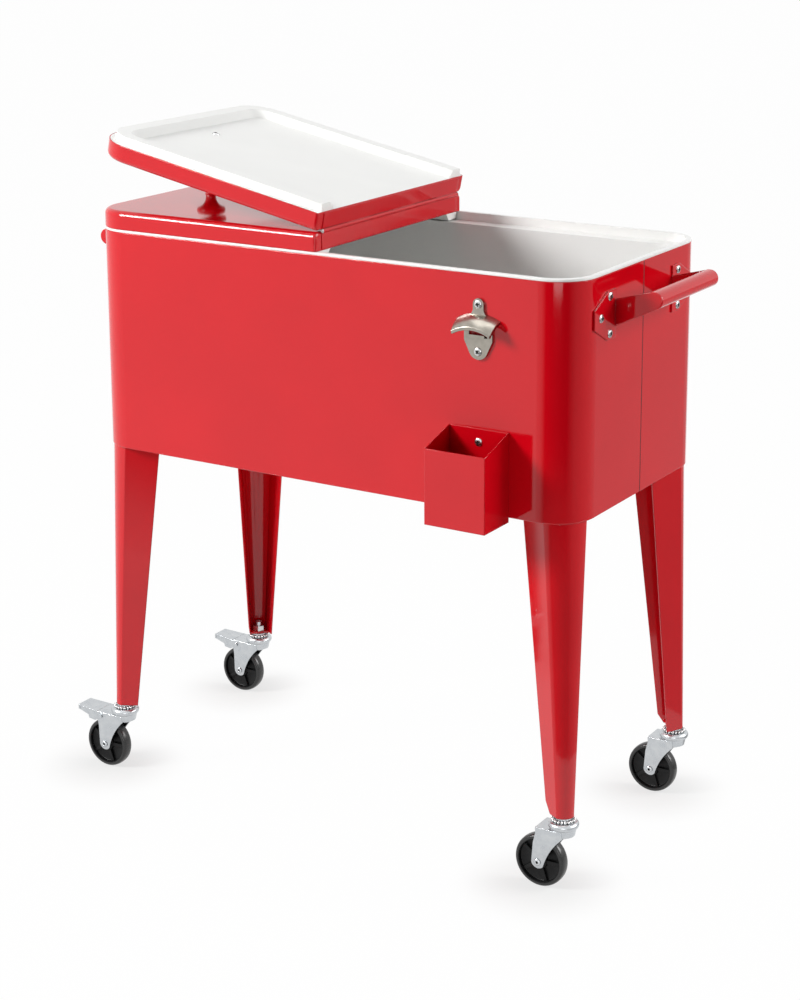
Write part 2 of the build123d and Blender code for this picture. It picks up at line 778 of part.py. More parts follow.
def brake_pedal():
    """Pressed pedal: a tapering tread plate, two cheeks on the pivot pin and a shoe bar over the wheel."""
    pivot_x, pivot_z = -pedal_pivot_back, pedal_pivot_height
    cheek_half = fork_half(pivot_z - pedal_lobe) - pedal_side_gap
    tread_half = fork_half(fork_crown) + fork_sheet * 0.9
    top = fork_crown
    front = crown_back(True) - pedal_slit
    tip = front - pedal_length
    shoe = shoe_radius()
    shoe_x, shoe_z = pivot_x - shoe_back, pivot_z - shoe_down
    with BuildSketch(Plane.XZ) as cheek:
        with BuildLine():
            Polyline((front, top - 1), (tip, top + pedal_rise - 1), (tip, top + pedal_rise - pedal_lip),
                     (shoe_x - 9.5, shoe_z + 1), (shoe_x - 8, shoe_z - shoe), (shoe_x + 2.5, shoe_z - shoe - 1.5),
                     (pivot_x, pivot_z - pedal_lobe), (pivot_x, pivot_z + pedal_lobe),
                     (front, pivot_z + pedal_lobe), close=True)
        make_face()
        with Locations((pivot_x, pivot_z)):
            Circle(pedal_lobe)
    with BuildSketch(Plane.XZ) as tread:
        with BuildLine():
            Polyline((front, top), (tip, top + pedal_rise), (tip, top + pedal_rise - fork_sheet),
                     (front, top - fork_sheet), close=True)
        make_face()
    with BuildSketch() as taper:
        with BuildLine():
            Polyline((front, -tread_half), (front, tread_half), (tip, pedal_tip_width / 2),
                     (tip, -pedal_tip_width / 2), close=True)
        make_face()
    pedal = extrude(tread.sketch, tread_half, both=True) & extrude(taper.sketch, 2 * top)
    pedal += slab((tip, tip + fork_sheet), (-pedal_tip_width / 2, pedal_tip_width / 2),
                  (top + pedal_rise - pedal_lip, top + pedal_rise - fork_sheet / 2))
    for side in (-1, 1):
        plate = extrude(cheek.sketch, fork_sheet / 2, both=True)
        pedal += Pos(0, side * (cheek_half - fork_sheet / 2), 0) * plate
    pedal += across(2 * shoe, 2 * cheek_half, shoe_x, shoe_z)
    return pedal - across(pedal_pin + 2 * axle_clearance, 4 * tread_half, pivot_x, pivot_z)


def shoe_radius():
    """Shoe bar size that just clears the tread when the pedal is pressed right down."""
    turn = radians(pedal_press)
    x = -shoe_back * cos(turn) + shoe_down * sin(turn) - pedal_pivot_back + caster_trail
    z = -shoe_back * sin(turn) - shoe_down * cos(turn) + pedal_pivot_height - wheel_radius
    return hypot(x, z) - wheel_radius - shoe_gap


def handle():
    """End handle of the +X end: half-hexagon feet, tapering arms and a half-round channel between their noses."""
    face = body_length / 2
    low = handle_level
    level = low + handle_rise
    outer = face + handle_reach
    inner = outer - handle_grip_depth
    side = handle_span / 2
    radius = handle_grip / 2
    nose = outer - radius

    def channel(inset):
        small = radius - inset
        with BuildSketch(Plane.XZ) as section:
            with Locations((nose, level)):
                Circle(small)
            with Locations(((inner + nose) / 2, level)):
                Rectangle(nose - inner, 2 * small)
        return section.sketch

    with BuildSketch(Plane.XZ) as arm:
        with Locations((nose, level)):
            Circle(radius)
        with Locations((face + handle_sheet / 2, low)):
            Rectangle(handle_sheet, handle_arm)
        make_hull()
    whole = extrude(channel(0), side, both=True) + extrude(arm.sketch, side, both=True)
    ends = [edge for edge in whole.edges() if abs(abs(edge.center().Y) - side) < 0.01]
    whole = fillet([edge for edge in ends if edge.geom_type == GeomType.CIRCLE], handle_bend)
    whole -= extrude(channel(handle_sheet), side - handle_sheet, both=True)
    between = side - handle_sheet
    whole -= slab((face - 1, inner), (-between, between), (low - handle_arm, level + handle_arm))
    half_foot, half_side = handle_foot_height / 2, handle_foot_side / 2
    for end in (-1, 1):
        near, far = end * between, end * (side + handle_foot_width)
        slant = end * (side + handle_foot_flat)
        with BuildSketch(Plane((face, 0, low), x_dir=(0, 1, 0), z_dir=(1, 0, 0))) as foot:
            with BuildLine():
                Polyline((near, -half_foot), (slant, -half_foot), (far, -half_side), (far, half_side),
                         (slant, half_foot), (near, half_foot), close=True)
            make_face()
        whole += extrude(foot.sketch, handle_sheet)
    for hole in placed(screw_hole(), handle_screw_places(1)):
        whole -= hole
    return whole


def bottle_opener():
    """Cast wall opener: screwed tab and tongue, an open window between them, an arched hood over a claw."""
    centre = (opener_x, -body_width / 2, opener_level)
    wall = Plane(centre, x_dir=(1, 0, 0), z_dir=(0, -1, 0))
    section = Plane(centre, x_dir=(0, -1, 0), z_dir=(-1, 0, 0))
    half_window, half_tongue = opener_window / 2, opener_tongue / 2
    with BuildSketch(wall) as tab:
        with BuildLine():
            neck, flare = (opener_tab, hood_top + 5), (half_tongue - 1, hood_top - 7)
            for side in (-1, 1):
                Line((side * opener_tab, opener_screw_up), (side * neck[0], neck[1]))
                ThreePointArc((side * neck[0], neck[1]), (side * (opener_tab + 3), hood_top - 1),
                              (side * flare[0], flare[1]))
            Line((-flare[0], flare[1]), flare)
            Line((-opener_tab, opener_screw_up), (opener_tab, opener_screw_up))
        make_face()
        with Locations((0, opener_screw_up)):
            Circle(opener_tab)
    with BuildSketch(wall) as tongue:
        with Locations((0, -opener_foot_drop)):
            Circle(opener_foot)
        with Locations((0, -claw_drop - 4)):
            Rectangle(opener_tongue, 4)
        make_hull()
    body = extrude(tab.sketch, opener_plate) + extrude(tongue.sketch, opener_plate)
    post = half_tongue - half_window
    rise = hood_top - 7 + claw_drop + 4
    for side in (-1, 1):
        spot = Pos(side * (half_window + post / 2), rise / 2 - claw_drop - 4)
        body += extrude(wall * (spot * Rectangle(post, rise)), opener_plate)
    body += extrude(wall * (Pos(0, -claw_drop) * RectangleRounded(claw_width, 4, 1.5)), claw_reach)
    front, crest = hood_reach + hood_thickness, hood_lip + hood_thickness
    with BuildSketch(section) as hood:
        with BuildLine():
            ThreePointArc((0, hood_top), (hood_reach * 0.6, hood_top - 4), (front, crest))
            Polyline((front, crest), (front, hood_lip), (hood_reach, hood_lip), (hood_reach, hood_lip + 2))
            ThreePointArc((hood_reach, hood_lip + 2), (hood_reach * 0.5, hood_top - 9), (0, hood_top - 5))
            Line((0, hood_top - 5), (0, hood_top))
        make_face()
        fillet([corner for corner in hood.vertices() if corner.X > hood_reach + 1], hood_round)
    bow = Axis((opener_x, 0, opener_level + hood_lip - hood_bow), (0, 1, 0))
    cover = revolve(hood.sketch, bow, revolution_arc=2 * hood_turn).rotate(bow, -hood_turn)
    droop = hood_bow - (hood_bow ** 2 - (hood_lip_width / 2) ** 2) ** 0.5
    wings = Polygon((-hood_lip_width / 2, hood_lip - droop), (hood_lip_width / 2, hood_lip - droop),
                    (hood_width / 2, hood_top), (-hood_width / 2, hood_top), align=None)
    cover &= extrude(wall * wings, front + 1)
    ends = cover.faces().sort_by(Axis.X)
    free = [edge for end in (ends[0], ends[-1]) for edge in end.edges()
            if edge.center().Y < -body_width / 2 - opener_plate]
    cover = fillet(free, wing_round)
    whole = body + cover
    for hole in placed(screw_hole(), opener_screw_places):
        whole -= hole
    return whole


def cap_catcher():
    """Open-topped sheet box under the opener, higher at the back than in front."""
    wall = -body_width / 2
    bottom = body_bottom - catcher_drop

    def block(inset, floor):
        side = Plane((opener_x, 0, 0), x_dir=(0, -1, 0), z_dir=(-1, 0, 0))
        back, front = -wall + inset, -wall + catcher_depth - inset
        slope = (catcher_back - catcher_front) / catcher_depth
        with BuildSketch(side) as profile:
            with BuildLine():
                Polyline((back, bottom + floor), (front, bottom + floor),
                         (front, bottom + catcher_front + slope * inset + floor * 2),
                         (back, bottom + catcher_back - slope * inset + floor * 2), close=True)
            make_face()
        return extrude(profile.sketch, catcher_width / 2 - inset, both=True)

    box = block(0, 0) - block(sheet, sheet)
    for hole in placed(screw_hole(), catcher_screw_places):
        box -= hole
    return box


def drain_fitting():
    """Flanged tube from the recess in the tub floor down through the pan."""
    bore, outer = drain_bore, drain_bore + 2 * drain_wall
    end = body_bottom - drain_drop
    top = drain_seat + drain_flange_height
    fitting = disc(drain_flange, drain_seat, top, drain_x) + disc(outer, end, top, drain_x)
    return fitting - disc(bore, end - 1, top + 1, drain_x)


def drain_nut_piece():
    """Hexagon nut that pulls the drain up against the pan."""
    top = body_bottom + sheet
    nut = hexagon(drain_nut, top - drain_nut_height, top, drain_x)
    return nut - disc(drain_bore + 2 * drain_wall + 2 * stem_clearance, 0, body_top, drain_x)


def drain_cap():
    """Cap over the end of the drain tube."""
    outer = drain_bore + 2 * drain_wall
    end = body_bottom - drain_drop
    floor = end - drain_clearance
    cap = disc(outer + 2 * drain_clearance + 2 * drain_cap_wall, floor - drain_cap_wall,
               floor + drain_cap_height - drain_cap_wall, drain_x)
    cap = fillet(cap.edges().group_by(Axis.Z)[0], 1.5)
    return cap - disc(outer + 2 * drain_clearance, floor, body_top, drain_x)


os.makedirs("parts", exist_ok=True)

# Body and tub
shell = body_shell()
save("front_body_panel", half_of(shell, -1))
save("rear_body_panel", half_of(shell, 1))
save("bottom_pan", bottom_pan())
save("tub_liner", tub_liner())
save("body_insulation", body_insulation())
save("drain_fitting", drain_fitting())
save("drain_nut", drain_nut_piece())
save("drain_cap", drain_cap())

# Legs and what is fixed to their feet
corners = {"front_left": (-1, -1), "front_right": (1, -1), "rear_left": (-1, 1), "rear_right": (1, 1)}
diagonal = Plane((0, 0, 0), x_dir=(0, 0, 1), z_dir=(1, -1, 0))
right_leg = leg()
left_leg = mirror(right_leg, about=diagonal)
one_mount = foot_mount()
for corner, (sx, sy) in corners.items():
    save(corner + "_leg", at_corner(right_leg if sx > 0 else left_leg, sx, sy))
save("leg_foot_plates", *[at_corner(one_mount, sx, sy) for sx, sy in corners.values()])
leg_screw_seat = Location((0, 0, body_bottom - leg_sheet), (180, 0, 0))
save("leg_screws", *[Pos(x, y, 0) * leg_screw_seat * screw() for x, y in leg_screw_spots()])

# Casters
stems = [Pos(sx * stem_x, sy * stem_y, 0) for sx, sy in corners.values()]
save("caster_stems", *placed(caster_stem(), stems))
save("caster_nuts", *placed(stem_nut_piece(), stems))
one_wheel = wheel()
one_axle = riveted_pin(axle_diameter, axle_head, axle_head_height, -caster_trail, wheel_radius)
one_pivot = riveted_pin(pedal_pin, pedal_pin_head, pedal_pin_head_height, -pedal_pivot_back, pedal_pivot_height)
forks = {False: fork(False), True: fork(True)}
one_pedal = brake_pedal()
for corner, stem in zip(corners, stems):
    brake = corners[corner][0] < 0
    save(corner + "_caster_fork", stem * forks[brake])
    save(corner + "_axle", stem * one_axle)
    save(corner + "_wheel", stem * one_wheel)
    if brake:
        save(corner + "_brake_pedal", stem * one_pedal)
        save(corner + "_brake_pin", stem * one_pivot)

# Handles, opener and cap catcher
right_handle = handle()
save("right_handle", right_handle)
save("left_handle", mirror(right_handle, about=Plane.YZ))
save("handle_screws", *placed(screw(), end_holes))
save("bottle_opener", bottle_opener())
save("opener_screws", *placed(screw(), opener_screw_places))
save("cap_catcher", cap_catcher())
save("catcher_screw", *placed(screw(), catcher_screw_places))

# Lids: the left one closed, the right one turned over onto it
pieces = {"lid_shell": lid_shell(), "lid_insulation": lid_insulation(), "lid_liner": lid_liner(),
          "knob": knob(), "knob_screw": knob_bolt()}
for name, piece in pieces.items():
    save("left_" + name, piece)
    save("right_" + name, folded(piece))
save("left_hinge_leaf", hinge_leaf(-1))
save("right_hinge_leaf", turned_over(hinge_leaf(1)))
save("hinge_pin", hinge_pin())
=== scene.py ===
import json
import math

import bmesh
import bpy
from mathutils import Matrix, Vector


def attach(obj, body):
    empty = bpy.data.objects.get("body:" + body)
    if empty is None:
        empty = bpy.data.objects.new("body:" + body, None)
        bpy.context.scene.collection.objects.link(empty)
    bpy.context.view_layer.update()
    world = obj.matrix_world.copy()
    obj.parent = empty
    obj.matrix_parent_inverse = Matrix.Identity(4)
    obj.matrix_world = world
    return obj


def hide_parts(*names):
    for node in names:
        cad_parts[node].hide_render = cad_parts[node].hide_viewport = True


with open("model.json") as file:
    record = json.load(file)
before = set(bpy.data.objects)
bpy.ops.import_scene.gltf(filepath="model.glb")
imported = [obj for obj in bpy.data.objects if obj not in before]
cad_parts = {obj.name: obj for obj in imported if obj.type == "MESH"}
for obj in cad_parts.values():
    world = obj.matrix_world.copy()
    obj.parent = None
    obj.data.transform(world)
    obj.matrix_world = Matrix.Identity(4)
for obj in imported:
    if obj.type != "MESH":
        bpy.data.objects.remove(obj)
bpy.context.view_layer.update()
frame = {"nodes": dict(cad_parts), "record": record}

nodes = frame["nodes"]
MM = 0.001

# Camera, as the photograph's perspective gives it
PHOTO_HEIGHT = 1000
PHOTO_CENTRE = (400, 500)
PRINCIPAL_POINT = (400, 330)
FOCAL_PIXELS = 2160.3
SENSOR_SIZE = 36.0
CAMERA_PLACE = Vector((1.5308, -2.4348, 1.3225))
CAMERA_AZIMUTH = 31.974
CAMERA_ELEVATION = 12.905
CAMERA_ROLL = -0.274

# Light of the studio: place, aim, size in metres, watts
FILL_LIGHT = 0.13
SOFTBOXES = {
    "key_softbox": ((-2.0, -2.4, 2.2), (-0.1, 0, 0.6), (1.0, 1.0), 114),
    "side_softbox": ((2.6, 1.2, 1.8), (0.3, 0, 0.6), (1.4, 1.4), 58),
    "top_softbox": ((-0.3, 0.3, 3.2), (-0.1, 0, 0.8), (1.8, 1.8), 18),
    "low_softbox": ((1.6, -2.6, 0.6), (0.2, 0, 0.45), (1.2, 0.8), 9),
}

# Sizes and places that the small hardware shares with the solids, in millimetres
BODY_END = 375.0
BODY_FRONT = -184.0
HANDLE_SHEET = 2.0
OPENER_PLATE = 3.5
CATCHER_SHEET = 1.2
OPENER_X = 241.0
OPENER_SCREW_LEVELS = (761.0, 701.0)
CATCHER_SCREW_LEVEL = 585.0
HANDLE_SCREW_PLACES = ((98.5, 769.5), (122.5, 746.0), (98.5, 722.5))
SCREW_HEAD = 11.0
SCREW_HEAD_HEIGHT = 2.1
SCREW_SHANK = 4.0
SCREW_LENGTH = 11.0
KNOB_SCREW_LENGTH = 39.0
KNOB_DISTANCE = 305.0
KNOB_SCREW_DROP = 25.5
HINGE_LEVEL = 827.3
LID_FOLD = math.radians(-168.598)
CASTER_TRAIL = 31.0
WHEEL_RADIUS = 35.5
SWIVEL_X = 357.0
SWIVEL_Y = 166.0
SWIVEL_PLACES = {"front_left": (-SWIVEL_X, -SWIVEL_Y), "front_right": (SWIVEL_X, -SWIVEL_Y),
                 "rear_left": (-SWIVEL_X, SWIVEL_Y), "rear_right": (SWIVEL_X, SWIVEL_Y)}

# Angle between faces, in degrees, from which an edge is sharp, and sides of the turned pieces
SHARP_EDGE = 38
SCREW_SIDES = 40
PIN_SIDES = 36
CAGE_SIDES = 60
WHEEL_SIDES = 72
BALL_SIDES = 14


def hex_linear(code):
    """sRGB hex to linear colour with alpha."""
    parts = [int(code[i:i + 2], 16) / 255 for i in (1, 3, 5)]
    linear = [c / 12.92 if c <= 0.04045 else ((c + 0.055) / 1.055) ** 2.4 for c in parts]
    return (*linear, 1.0)


def add(tree, kind, sockets=None, **settings):
    """Add one shader node with its settings; a socket takes a value or another node's output."""
    node = tree.nodes.new(kind)
    for name, value in settings.items():
        setattr(node, name, value)
    for name, value in (sockets or {}).items():
        if isinstance(value, bpy.types.NodeSocket):
            tree.links.new(value, node.inputs[name])
        else:
            node.inputs[name].default_value = value
    return node


def start_material(name):
    """Empty node material, its tree and the object coordinates its patterns run on."""
    material = bpy.data.materials.new(name)
    material.use_nodes = True
    tree = material.node_tree
    tree.nodes.clear()
    place = add(tree, "ShaderNodeTexCoord").outputs["Object"]
    return material, tree, place


def close_material(tree, sockets):
    """Principled surface on the material's output."""
    shader = add(tree, "ShaderNodeBsdfPrincipled", sockets)
    add(tree, "ShaderNodeOutputMaterial", {"Surface": shader.outputs["BSDF"]})


def powder_coated_steel():
    """Polyester powder, sprayed and baked on sheet steel: deep colour under a hard gloss, with the
    faint pull of orange peel in its reflections and a hardly seen drift in film thickness. Hollows,
    boxes and channels are darkened inside by ambient occlusion, as painted shade. Sheet edges carry
    a fine light line, where the film draws round them."""
    material, tree, place = start_material("powder_coated_steel_red")
    peel_mm = 3.2  # real orange peel is about 2 mm, too fine to show
    edge_mm = 2.0
    drift_mm = 140.0
    shade_reach_mm = 45.0
    peel = add(tree, "ShaderNodeTexNoise",
               {"Vector": place, "Scale": 1 / (peel_mm * MM), "Detail": 1.5})
    drift = add(tree, "ShaderNodeTexNoise",
                {"Vector": place, "Scale": 1 / (drift_mm * MM), "Detail": 2.0})
    tone = add(tree, "ShaderNodeValToRGB", {"Fac": drift.outputs["Fac"]})
    dark, light = tone.color_ramp.elements
    dark.position, light.position = 0.3, 0.7
    dark.color, light.color = hex_linear("#CC0415"), hex_linear("#D30617")
    # Ambient occlusion darkens hollows, boxes and channels towards #4A0408: painted shade
    open_to_light = add(tree, "ShaderNodeAmbientOcclusion", {"Distance": shade_reach_mm * MM},
                  samples=8, only_local=True)
    hollow_shade = add(tree, "ShaderNodeMapRange",
               {"Value": open_to_light.outputs["AO"], "From Min": 0.25, "From Max": 0.7,
                "To Min": 1.0, "To Max": 0.0})
    coat = add(tree, "ShaderNodeMixRGB",
               {"Fac": hollow_shade.outputs["Result"], "Color1": tone.outputs["Color"],
                "Color2": hex_linear("#4A0408")})
    gloss = add(tree, "ShaderNodeMapRange",
                {"Value": drift.outputs["Fac"], "To Min": 0.05, "To Max": 0.09})
    edges = add(tree, "ShaderNodeBevel", {"Radius": edge_mm * MM}, samples=6)
    bump = add(tree, "ShaderNodeBump",
               {"Height": peel.outputs["Fac"], "Strength": 0.05, "Distance": 0.06 * MM,
                "Normal": edges.outputs["Normal"]})
    close_material(tree, {"Base Color": coat.outputs["Color"],
                          "Roughness": gloss.outputs["Result"],
                          "IOR": 1.52, "Normal": bump.outputs["Normal"]})
    return material


def thermoformed_polystyrene():
    """High-impact polystyrene sheet, drawn over a mould: bright white with a soft sheen, and a
    hair-cell grain that the draw stretches."""
    material, tree, place = start_material("thermoformed_polystyrene_white")
    grain_mm = 1.6  # the real grain of about 0.4 mm is too fine to show
    wave_mm = 60.0
    grain = add(tree, "ShaderNodeTexNoise",
                {"Vector": place, "Scale": 1 / (grain_mm * MM), "Detail": 3.0})
    wave = add(tree, "ShaderNodeTexNoise",
               {"Vector": place, "Scale": 1 / (wave_mm * MM), "Detail": 1.0})
    tone = add(tree, "ShaderNodeValToRGB", {"Fac": wave.outputs["Fac"]})
    dark, light = tone.color_ramp.elements
    dark.color, light.color = hex_linear("#EDEDEB"), hex_linear("#F2F2F0")
    bump = add(tree, "ShaderNodeBump",
               {"Height": grain.outputs["Fac"], "Strength": 0.06, "Distance": 0.05 * MM})
    close_material(tree, {"Base Color": tone.outputs["Color"], "Roughness": 0.32, "IOR": 1.55,
                          "Normal": bump.outputs["Normal"]})
    return material


def zinc_plated_steel():
    """Pressed steel, bright zinc plated and clear passivated: silvery with a cool cast, clouded
    where the bath moved, its drawing lines and edges softened under the plate."""
    material, tree, place = start_material("zinc_plated_steel_bright")
    cloud_mm = 9.0
    line_mm = 0.7  # real drawing lines are about 0.1 mm, too fine to show
    edge_mm = 0.6
    cloud = add(tree, "ShaderNodeTexNoise",
                {"Vector": place, "Scale": 1 / (cloud_mm * MM), "Detail": 4.0})
    lines = add(tree, "ShaderNodeTexNoise",
                {"Vector": place, "Scale": 1 / (line_mm * MM), "Detail": 2.0})
    tone = add(tree, "ShaderNodeValToRGB", {"Fac": cloud.outputs["Fac"]})
    dark, light = tone.color_ramp.elements
    dark.position, light.position = 0.3, 0.72
    dark.color, light.color = hex_linear("#BEC2C6"), hex_linear("#CCCFD1")
    haze = add(tree, "ShaderNodeMapRange",
               {"Value": cloud.outputs["Fac"], "To Min": 0.25, "To Max": 0.31})
    edges = add(tree, "ShaderNodeBevel", {"Radius": edge_mm * MM}, samples=6)
    bump = add(tree, "ShaderNodeBump",
               {"Height": lines.outputs["Fac"], "Strength": 0.08, "Distance": 0.03 * MM,
                "Normal": edges.outputs["Normal"]})
    close_material(tree, {"Base Color": tone.outputs["Color"], "Metallic": 1.0,
                          "Roughness": haze.outputs["Result"], "Normal": bump.outputs["Normal"]})
    return material


def nickel_plated_casting():
    """Zinc die casting, tumbled and satin nickel plated: warm grey metal, rounded by tumbling,
    with the shallow pitting of the casting skin."""
    material, tree, place = start_material("nickel_plated_casting_satin")
    skin_mm = 1.4  # real pits are about 0.3 mm, too fine to show
    mottle_mm = 12.0
    skin = add(tree, "ShaderNodeTexNoise",
               {"Vector": place, "Scale": 1 / (skin_mm * MM), "Detail": 3.0})
    mottle = add(tree, "ShaderNodeTexNoise",
                {"Vector": place, "Scale": 1 / (mottle_mm * MM), "Detail": 2.0})
    tone = add(tree, "ShaderNodeValToRGB", {"Fac": mottle.outputs["Fac"]})
    dark, light = tone.color_ramp.elements
    dark.color, light.color = hex_linear("#8C877E"), hex_linear("#B7B1A7")
    haze = add(tree, "ShaderNodeMapRange",
               {"Value": mottle.outputs["Fac"], "To Min": 0.20, "To Max": 0.30})
    bump = add(tree, "ShaderNodeBump",
               {"Height": skin.outputs["Fac"], "Strength": 0.15, "Distance": 0.08 * MM})
    close_material(tree, {"Base Color": tone.outputs["Color"], "Metallic": 1.0,
                          "Roughness": haze.outputs["Result"], "Normal": bump.outputs["Normal"]})
    return material


def cold_headed_screw_steel():
    """Cold-headed screw stock, nickel flashed: small bright heads with a trace of tool marks."""
    material, tree, place = start_material("cold_headed_screw_steel")
    mark_mm = 0.9  # real tool marks are about 0.1 mm, too fine to show
    mark = add(tree, "ShaderNodeTexNoise",
               {"Vector": place, "Scale": 1 / (mark_mm * MM), "Detail": 3.0})
    tone = add(tree, "ShaderNodeValToRGB", {"Fac": mark.outputs["Fac"]})
    dark, light = tone.color_ramp.elements
    dark.color, light.color = hex_linear("#B9BABB"), hex_linear("#E2E2E1")
    haze = add(tree, "ShaderNodeMapRange",
               {"Value": mark.outputs["Fac"], "To Min": 0.18, "To Max": 0.34})
    close_material(tree, {"Base Color": tone.outputs["Color"], "Metallic": 1.0,
                          "Roughness": haze.outputs["Result"]})
    return material


def moulded_polypropylene():
    """Black polypropylene, injection moulded: dull and deep, with spark-eroded grain and a little
    scuffing."""
    material, tree, place = start_material("moulded_polypropylene_black")
    grain_mm = 0.8  # the real grain of about 0.2 mm is too fine to show
    scuff_mm = 7.0
    grain = add(tree, "ShaderNodeTexNoise",
                {"Vector": place, "Scale": 1 / (grain_mm * MM), "Detail": 3.0})
    scuff = add(tree, "ShaderNodeTexNoise",
                {"Vector": place, "Scale": 1 / (scuff_mm * MM), "Detail": 5.0})
    tone = add(tree, "ShaderNodeValToRGB", {"Fac": scuff.outputs["Fac"]})
    dark, light = tone.color_ramp.elements
    dark.position, light.position = 0.45, 0.8
    dark.color, light.color = hex_linear("#0D0D0E"), hex_linear("#191919")
    haze = add(tree, "ShaderNodeMapRange",
               {"Value": scuff.outputs["Fac"], "To Min": 0.30, "To Max": 0.46})
    bump = add(tree, "ShaderNodeBump",
               {"Height": grain.outputs["Fac"], "Strength": 0.15, "Distance": 0.05 * MM})
    close_material(tree, {"Base Color": tone.outputs["Color"],
                          "Roughness": haze.outputs["Result"],
                          "Specular IOR Level": 0.22, "Normal": bump.outputs["Normal"]})
    return material


def rolled_tread():
    """Tread of the same black plastic, turned smooth and polished by rolling: a clearer, greyer
    sheen."""
    material, tree, place = start_material("rolled_tread_black")
    wear_mm = 4.0
    wear = add(tree, "ShaderNodeTexNoise",
               {"Vector": place, "Scale": 1 / (wear_mm * MM), "Detail": 4.0})
    tone = add(tree, "ShaderNodeValToRGB", {"Fac": wear.outputs["Fac"]})
    dark, light = tone.color_ramp.elements
    dark.color, light.color = hex_linear("#111111"), hex_linear("#1E1E1E")
    haze = add(tree, "ShaderNodeMapRange",
               {"Value": wear.outputs["Fac"], "To Min": 0.20, "To Max": 0.34})
    close_material(tree, {"Base Color": tone.outputs["Color"],
                          "Roughness": haze.outputs["Result"], "IOR": 1.56})
    return material


def foamed_polyurethane():
    """Polyurethane poured between the skins: cream foam with fine cells, hidden by the skins."""
    material, tree, place = start_material("foamed_polyurethane_cream")
    cell_mm = 1.2  # real cells are about 0.3 mm, too fine to show
    cells = add(tree, "ShaderNodeTexVoronoi", {"Vector": place, "Scale": 1 / (cell_mm * MM)})
    tone = add(tree, "ShaderNodeValToRGB", {"Fac": cells.outputs["Distance"]})
    dark, light = tone.color_ramp.elements
    dark.color, light.color = hex_linear("#D9C99B"), hex_linear("#EFE3BF")
    close_material(tree, {"Base Color": tone.outputs["Color"], "Roughness": 0.9})
    return material


def turned_knob_enamel():
    """Turned knob dipped in red enamel: darker than the sheet and wet-looking, with a slight
    sag."""
    material, tree, place = start_material("turned_knob_enamel_red")
    sag_mm = 8.0
    sag = add(tree, "ShaderNodeTexNoise",
              {"Vector": place, "Scale": 1 / (sag_mm * MM), "Detail": 1.0})
    tone = add(tree, "ShaderNodeValToRGB", {"Fac": sag.outputs["Fac"]})
    dark, light = tone.color_ramp.elements
    dark.color, light.color = hex_linear("#A50512"), hex_linear("#B20716")
    bump = add(tree, "ShaderNodeBump",
               {"Height": sag.outputs["Fac"], "Strength": 0.05, "Distance": 0.1 * MM})
    close_material(tree, {"Base Color": tone.outputs["Color"], "Roughness": 0.10, "IOR": 1.52,
                          "Normal": bump.outputs["Normal"]})
    return material


def painted_shade_steel():
    """Painted shade for screw recesses, rivet ends and ball cages: a dark steel colour standing in
    for the shade that falls in these hollows and gaps."""
    material, tree, place = start_material("painted_shade_recess_dark")
    mottle_mm = 0.6  # mottle of the painted shade; a mottle of 0.2 mm would be too fine to show
    mottle = add(tree, "ShaderNodeTexNoise",
                {"Vector": place, "Scale": 1 / (mottle_mm * MM), "Detail": 2.0})
    tone = add(tree, "ShaderNodeValToRGB", {"Fac": mottle.outputs["Fac"]})
    dark, light = tone.color_ramp.elements
    dark.color, light.color = hex_linear("#12110F"), hex_linear("#3A3733")
    close_material(tree, {"Base Color": tone.outputs["Color"], "Roughness": 0.55})
    return material


def painted_seam_shade():
    """Dark, dull colour in the seam of the sheets, standing in for the shade in the seam's gap:
    painted shade, a little uneven along its path.
    """
    material, tree, place = start_material("seam_shade_dark")
    waver_mm = 5.0
    waver = add(tree, "ShaderNodeTexNoise",
                {"Vector": place, "Scale": 1 / (waver_mm * MM), "Detail": 2.0})
    tone = add(tree, "ShaderNodeValToRGB", {"Fac": waver.outputs["Fac"]})
    dark, light = tone.color_ramp.elements
    dark.color, light.color = hex_linear("#2A0206"), hex_linear("#46060B")
    close_material(tree, {"Base Color": tone.outputs["Color"], "Roughness": 0.7})
    return material


finishes = {
    "red_powder_coat": powder_coated_steel(),
    "red_knob": turned_knob_enamel(),
    "white_plastic": thermoformed_polystyrene(),
    "insulation": foamed_polyurethane(),
    "zinc": zinc_plated_steel(),
    "nickel": nickel_plated_casting(),
    "bright_steel": cold_headed_screw_steel(),
    "black_wheel": moulded_polypropylene(),
}
# Dark steel colour as painted shade in screw recesses, rivet ends and ball cages
painted_recess_shade = painted_shade_steel()
# Dark finish of the seam bead: painted shade of the seam's gap
seam_shade_finish = painted_seam_shade()
wheel_tread = rolled_tread()


def finish_nodes():
    """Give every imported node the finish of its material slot."""
    for subpart in frame["record"]["subparts"]:
        mesh = nodes[subpart["node"]].data
        mesh.materials.clear()
        mesh.materials.append(finishes[subpart["material_slot"]])


def lathe(mesh, profile, steps, axis=(0, 0), first_turn=0):
    """Turn a half profile of (radius, height) points about an upright axis; a point on the axis
    closes the form."""
    x, y = axis
    turns = [first_turn + 2 * math.pi * step / steps for step in range(steps)]
    rings = []
    for radius, height in profile:
        around = [0] if radius == 0 else turns
        rings.append([mesh.verts.new((x + radius * math.cos(turn), y + radius * math.sin(turn),
                                      height)) for turn in around])
    for lower, upper in zip(rings, rings[1:]):
        for step in range(steps):
            after = (step + 1) % steps
            around = [lower[step % len(lower)], lower[after % len(lower)],
                      upper[after % len(upper)], upper[step % len(upper)]]
            mesh.faces.new(list(dict.fromkeys(around)))


def both_ways(half):
    """Profile of a form that is the same towards both ends, from its half that starts at zero."""
    return [(radius, -height) for radius, height in reversed(half[1:])] + half


def use_second_finish(mesh, holds):
    """Give the second finish to the faces whose corners all lie at a distance from Z that holds."""
    for face in mesh.faces:
        face.material_index = int(all(holds(math.hypot(corner.co.x, corner.co.y))
                                      for corner in face.verts))


